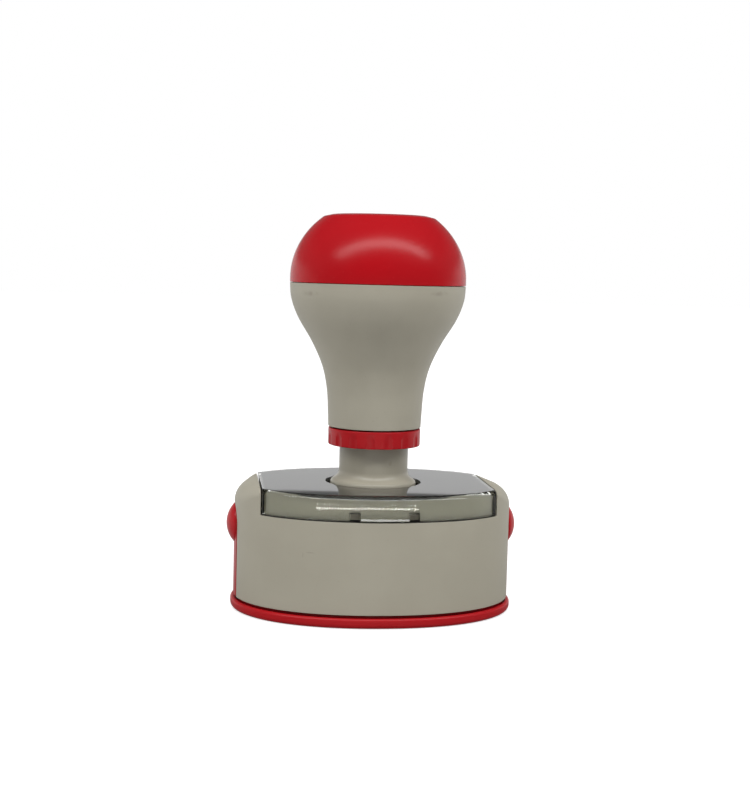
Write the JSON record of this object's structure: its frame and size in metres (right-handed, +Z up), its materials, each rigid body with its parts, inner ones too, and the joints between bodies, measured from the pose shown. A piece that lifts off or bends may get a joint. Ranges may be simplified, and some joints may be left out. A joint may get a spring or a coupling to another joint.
{
  "type": "flash stamp",
  "caption": "Oval flash stamp with a sprung knob handle, pressure ring, clear window cover and a clip-on dust cover released by two side buttons.",
  "frame": {"origin": "centre of the dust cover's underside, on the surface that the stamp stands on", "axes": "+Z up along the stem, X along the oval's length, the front of the window faces -Y"},
  "size_m": [0.0602, 0.043, 0.0806],
  "materials": {
    "greige_plastic": "satin moulded, warm grey",
    "red_plastic": "satin gloss, moulded",
    "smoky_clear": "polished, smoky clear",
    "natural_plastic": "satin moulded, natural white",
    "spring_steel": "bright drawn wire",
    "zinc_steel": "zinc plated",
    "ink_felt": "ink-soaked felt",
    "die_foam": "fine flash foam, matt"
  },
  "bodies": {
    "casing": {"housing": "greige_plastic", "guide_sleeve": "natural_plastic", "sleeve_screw_front": "zinc_steel", "sleeve_screw_back": "zinc_steel", "spring_washer": "zinc_steel", "return_spring": "spring_steel"},
    "window": {"window_cover": "smoky_clear"},
    "handle": {"knob_cap": "red_plastic", "knob_body": "greige_plastic", "stem": "greige_plastic", "handle_washer": "zinc_steel", "handle_screw": "zinc_steel", "die_carrier": "natural_plastic", "carrier_screw": "zinc_steel", "die_frame": "natural_plastic", "ink_pad": "ink_felt", "flash_die": "die_foam"},
    "ring_stop": {"ring_washer": "zinc_steel"},
    "ring": {"adjust_ring": "red_plastic"},
    "tray": {"dust_cover": "red_plastic"},
    "left_arm": {"release_arm_left": "red_plastic"},
    "right_arm": {"release_arm_right": "red_plastic"}
  },
  "joints": [
    {"name": "handle_press", "type": "slide", "parent": "casing", "child": "handle", "axis": [0, 0, -1], "range_m": [0, 0.006], "stiffness_N_per_m": 1800, "springref_m": -0.002, "deforming": ["return_spring"]},
    {"name": "ring_travel", "type": "slide", "parent": "handle", "child": "ring_stop", "axis": [0, 0, -1], "range_m": [0, 0.0032]},
    {"name": "ring_turn", "type": "hinge", "parent": "ring_stop", "child": "ring", "pos_m": [0, 0, 0.0354], "axis": [0, 0, 1], "range_deg": [0, 360]},
    {"name": "window_lift", "type": "slide", "parent": "casing", "child": "window", "axis": [0, 0, 1], "range_m": [0, 0.008]},
    {"name": "cover_pull", "type": "slide", "parent": "casing", "child": "tray", "axis": [0, 0, -1], "range_m": [0, 0.04]},
    {"name": "release_left", "type": "hinge", "parent": "tray", "child": "left_arm", "pos_m": [-0.02795, 0, 0.0029], "axis": [0, 1, 0], "range_deg": [0, 3.4], "stiffness_Nm_per_rad": 0.5},
    {"name": "release_right", "type": "hinge", "parent": "tray", "child": "right_arm", "pos_m": [0.02795, 0, 0.0029], "axis": [0, -1, 0], "range_deg": [0, 3.4], "stiffness_Nm_per_rad": 0.5}
  ],
  "couplings": [
    {"joint": "ring_travel", "follows": "ring_turn", "m_per_rad": 0.00050929}
  ]
}
